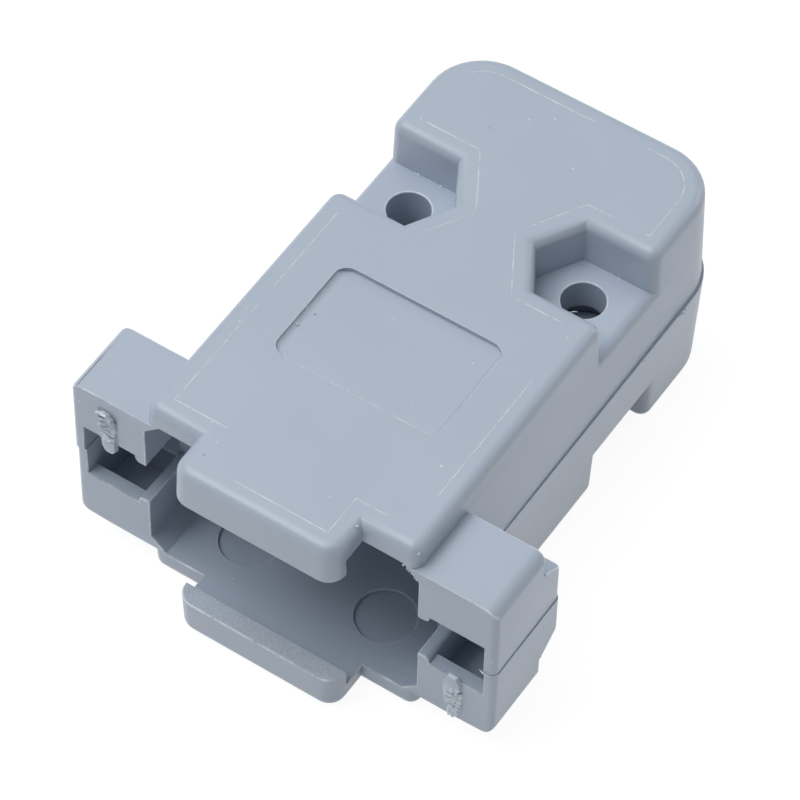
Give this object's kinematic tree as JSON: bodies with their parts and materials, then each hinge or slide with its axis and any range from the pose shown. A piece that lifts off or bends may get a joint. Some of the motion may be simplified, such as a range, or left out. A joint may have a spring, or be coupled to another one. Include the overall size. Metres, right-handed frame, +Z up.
{
  "type": "d-sub connector hood",
  "caption": "Moulded backshell of two equal halves for a small D-shaped cable connector, with hooked lips, jackscrew ears, pockets for nuts and a round cable outlet.",
  "frame": {"origin": "middle of the connector seat, on the parting plane between the two halves", "axes": "+X across the hood from ear to ear, +Y from the connector seat to the cable end, +Z up through the upper half"},
  "size_m": [0.0312, 0.0391, 0.0168],
  "materials": {
    "shell_plastic": "moulded ABS, blue-grey, slightly satin"
  },
  "bodies": {
    "root": {"upper_shell": "shell_plastic", "lower_shell": "shell_plastic"}
  },
  "joints": []
}
